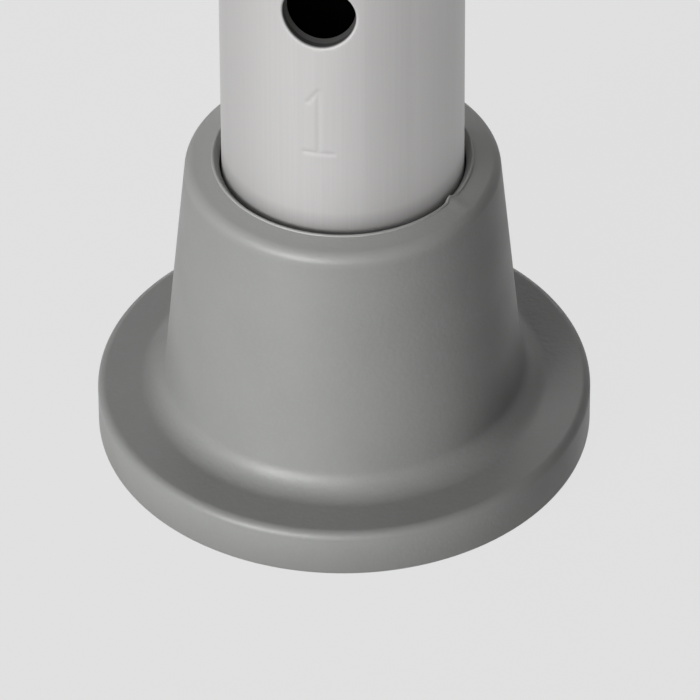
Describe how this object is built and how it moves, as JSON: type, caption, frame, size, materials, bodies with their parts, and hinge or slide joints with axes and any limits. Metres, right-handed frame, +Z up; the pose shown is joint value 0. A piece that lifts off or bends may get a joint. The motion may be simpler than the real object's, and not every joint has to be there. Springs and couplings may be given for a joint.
{
  "type": "underarm crutch",
  "caption": "Tubular aluminium underarm crutch with a telescoping snap-button leg on a flared rubber tip, a bolted hand grip between two bent bows and a padded underarm saddle.",
  "frame": {"origin": "centre of the rubber tip's sole, on the floor, at the middle of the whole crutch's footprint box", "axes": "+Z up along the leg, X across the two bows with the wing nut at -X, and the numbered setting holes face -Y"},
  "size_m": [0.22, 0.046, 1.2206],
  "materials": {
    "tip_rubber": "matte",
    "tube": "satin",
    "steel": "satin",
    "plastic": "satin",
    "foam": "matte"
  },
  "bodies": {
    "leg": {"rubber_tip": "tip_rubber", "tip_washer": "steel", "leg_tube": "tube", "leg_cuff": "plastic"},
    "frame": {"centre_post": "tube", "post_foot_plug": "plastic", "post_top_cap": "plastic", "bow_left": "tube", "bow_right": "tube", "bow_end_plugs": "plastic", "junction_spacers": "plastic", "junction_washers": "steel", "junction_bolts": "steel", "junction_nuts": "steel", "button_spring": "steel", "underarm_saddle": "plastic", "underarm_pad": "foam", "rest_screws": "steel"},
    "button": {"push_button": "steel"},
    "grip": {"hand_grip": "foam", "grip_core": "tube", "grip_cap_left": "plastic", "grip_cap_right": "plastic", "grip_bolt": "steel", "grip_washers": "steel"},
    "nut": {"wing_nut": "steel"}
  },
  "joints": [
    {"name": "height_slide", "type": "slide", "parent": "leg", "child": "frame", "axis": [0, 0, 1], "range_m": [-0.075, 0.075]},
    {"name": "button_press", "type": "slide", "parent": "frame", "child": "button", "axis": [0, 1, 0], "range_m": [0, 0.0045], "stiffness_N_per_m": 1200, "springref_m": -0.002, "deforming": ["button_spring"]},
    {"name": "grip_slide", "type": "slide", "parent": "frame", "child": "grip", "axis": [0, 0, 1], "range_m": [-0.075, 0.075]},
    {"name": "wing_nut_turn", "type": "hinge", "parent": "grip", "child": "nut", "pos_m": [-0.0777, 0, 0.8035], "axis": [-1, 0, 0], "continuous": true}
  ]
}
